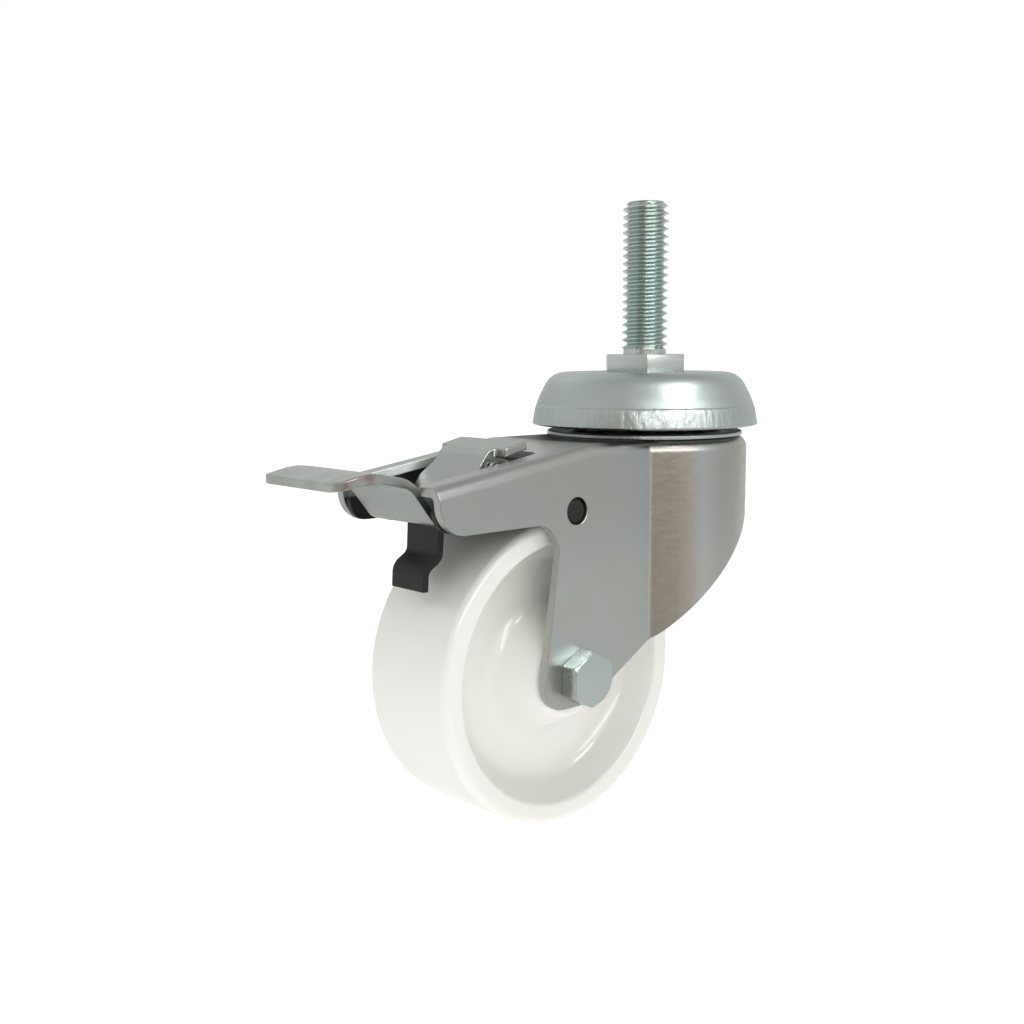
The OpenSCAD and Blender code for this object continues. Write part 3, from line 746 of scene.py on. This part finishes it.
half_section = [
    (wheel_bore, -hub_half, 0.3), (11.2, -hub_half, 2.2), (17.2, -web_half, 5),
    (29.9, -web_half, 5), (34.5, -tread_half, 1.2), (wheel_radius, -tread_half, 2.2)]
wheel_section = rounded(half_section + [(r, -h, c) for r, h, c in half_section[::-1]], 9)
wheel = lathe("nylon_wheel", wheel_section + wheel_section[:1], "Y", axle, steps=180)
smooth(wheel, 30)
wear(wheel, nylon)
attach(wheel, "wheel")
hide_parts("wheel")


# Axle
# An M8 hexagon bolt through both legs and a steel tube that the wheel turns on, with a thin
# washer each side and a lock nut on the far leg. All zinc plated.

bolt_flats = 13
bolt_radius = 4
bolt_top = -leg_out - 5.0
bolt_foot = leg_out + 10.2

# A known fault: the join below loses the shank and turns the head's faces inwards. When the
# shank is joined before the head's edges are broken, the bolt comes out whole.
bolt = hex_bar("hex_bolt", bolt_flats, bolt_top, -leg_out, (bolt_top,), "Y", centre=axle)
finish_edges(bolt, 0.2, angle=14)
shank = lathe("bolt shank", [
    (0, -leg_out - 2), (bolt_radius, -leg_out - 2), (bolt_radius, bolt_foot - 0.8),
    (bolt_radius - 0.8, bolt_foot), (0, bolt_foot)], "Y", axle, 48)
cut(bolt, shank, "UNION")
smooth(bolt, 24)
wear(bolt, bar_zinc)
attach(bolt, "fork")
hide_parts("axle_bolt")

ring = [(6.2, 17.27), (7.5, 17.27), (7.5, 18.27), (6.2, 18.27)]
washers = turned_pair("washer_pair", ring + ring[:1], axle, 64)
smooth(washers)
wear(washers, bar_zinc)
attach(washers, "fork")
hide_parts("thrust_washers")

for name in ("axle_nut", "axle_tube"):
    wear(solid[name], bar_zinc)
wear(solid["nut_insert"], nylon)


# Floor, light and camera
# A plain pale floor, a white room, two lamps that only gleam on the metal, two soft ones that
# only light, and the camera where the photograph was taken from.

bpy.ops.object.select_all(action="DESELECT")
bpy.ops.mesh.primitive_plane_add(size=30, location=(0, 0, (axle.z - wheel_radius) * mm))
floor = bpy.context.object
floor.name = "floor"
bpy.ops.object.transform_apply(location=True, rotation=True, scale=True)
floor.visible_glossy = False
paint = bpy.data.materials.new("pale floor")
paint.use_nodes = True
shader = paint.node_tree.nodes["Principled BSDF"]
shader.inputs["Base Color"].default_value = (0.80, 0.80, 0.80, 1)
shader.inputs["Roughness"].default_value = 0.9
shader.inputs["Specular IOR Level"].default_value = 0.0
shader.inputs["Emission Color"].default_value = (1, 1, 1, 1)
shader.inputs["Emission Strength"].default_value = 0.66
floor.data.materials.append(paint)

# The room as the metal mirrors it: brighter on the left, below, and in two patches beyond the
# castor, darker overhead, and warm behind the camera. The camera itself sees plain white.
world = bpy.data.worlds.new("studio")
bpy.context.scene.world = world
world.use_nodes = True
nodes, links = world.node_tree.nodes, world.node_tree.links
ahead = nodes.new("ShaderNodeTexCoord")


def shade_towards(direction, start, stop, low, high):
    """A level that goes from low to high as a ray turns to the direction."""
    facing = nodes.new("ShaderNodeVectorMath")
    facing.operation = "DOT_PRODUCT"
    facing.inputs[1].default_value = Vector(direction).normalized()
    links.new(ahead.outputs["Generated"], facing.inputs[0])
    return spread(world, facing.outputs["Value"], low, high, start, stop, eased=True)


seen = nodes.new("ShaderNodeLightPath")
walls = nodes["Background"]
strength = product(
    world,
    shade_towards((-0.80, -0.30, 0.50), -1, 1, 0.68, 1.0),
    shade_towards((0, 0, -1), 0.0, 0.30, 0.84, 1.06),
    shade_towards((0.08, 0.67, 0.75), 0.86, 1.0, 1.0, 1.5),
    shade_towards((0.88, 0.47, -0.12), 0.5, 0.95, 1.0, 1.35),
    shade_towards((0, 0, 1), 0.4, 1.0, 1.0, 0.66),
    spread(world, seen.outputs["Is Diffuse Ray"], 1.0, 0.92))
links.new(strength, walls.inputs["Strength"])
tone = nodes.new("ShaderNodeMix")
tone.data_type = "RGBA"
tone.inputs["A"].default_value = (1.0, 1.0, 1.0, 1)
tone.inputs["B"].default_value = (0.52, 0.46, 0.40, 1)
behind_camera = shade_towards((-0.74, -0.66, -0.12), 0.45, 0.92, 0.0, 1.0)
links.new(behind_camera, tone.inputs["Factor"])
links.new(tone.outputs["Result"], walls.inputs["Color"])
backdrop = nodes.new("ShaderNodeBackground")
backdrop.inputs["Color"].default_value = (1, 1, 1, 1)
backdrop.inputs["Strength"].default_value = 1.0
mixed = nodes.new("ShaderNodeMixShader")
links.new(seen.outputs["Is Camera Ray"], mixed.inputs["Fac"])
links.new(walls.outputs["Background"], mixed.inputs[1])
links.new(backdrop.outputs["Background"], mixed.inputs[2])
links.new(mixed.outputs["Shader"], nodes["World Output"].inputs["Surface"])
bpy.context.scene.view_settings.view_transform = "Standard"

aim = Vector((-0.03, 0, -0.06))
for name, place, wide, tall, power, mirrored, lighting in (
        ("key", (0.02, -0.53, 0.64), 0.34, 0.12, 1.7, True, False),
        ("front", (-0.24, -0.80, 0.34), 1.10, 0.22, 3.9, True, False),
        ("fill", (-0.50, -0.60, 0.45), 0.60, 0.60, 0.6, False, True),
        ("low_fill", (-0.42, -0.72, -0.06), 0.60, 0.10, 1.15, False, True)):
    bpy.ops.object.light_add(type="AREA", location=place)
    lamp = bpy.context.object
    lamp.name = name
    lamp.data.shape = "RECTANGLE"
    lamp.data.size = wide
    lamp.data.size_y = tall
    lamp.data.energy = power
    lamp.visible_glossy = mirrored
    lamp.visible_diffuse = lighting
    lamp.rotation_euler = (aim - Vector(place)).to_track_quat("-Z", "Y").to_euler()

bpy.ops.object.camera_add(
    location=(-0.26042, -0.23547, 0.00075),
    rotation=(math.radians(82.532), math.radians(0.193), math.radians(-41.740)))
camera = bpy.context.object
camera.data.sensor_width = 36
camera.data.lens = 42.95
camera.data.clip_start = 0.01
bpy.context.scene.camera = camera
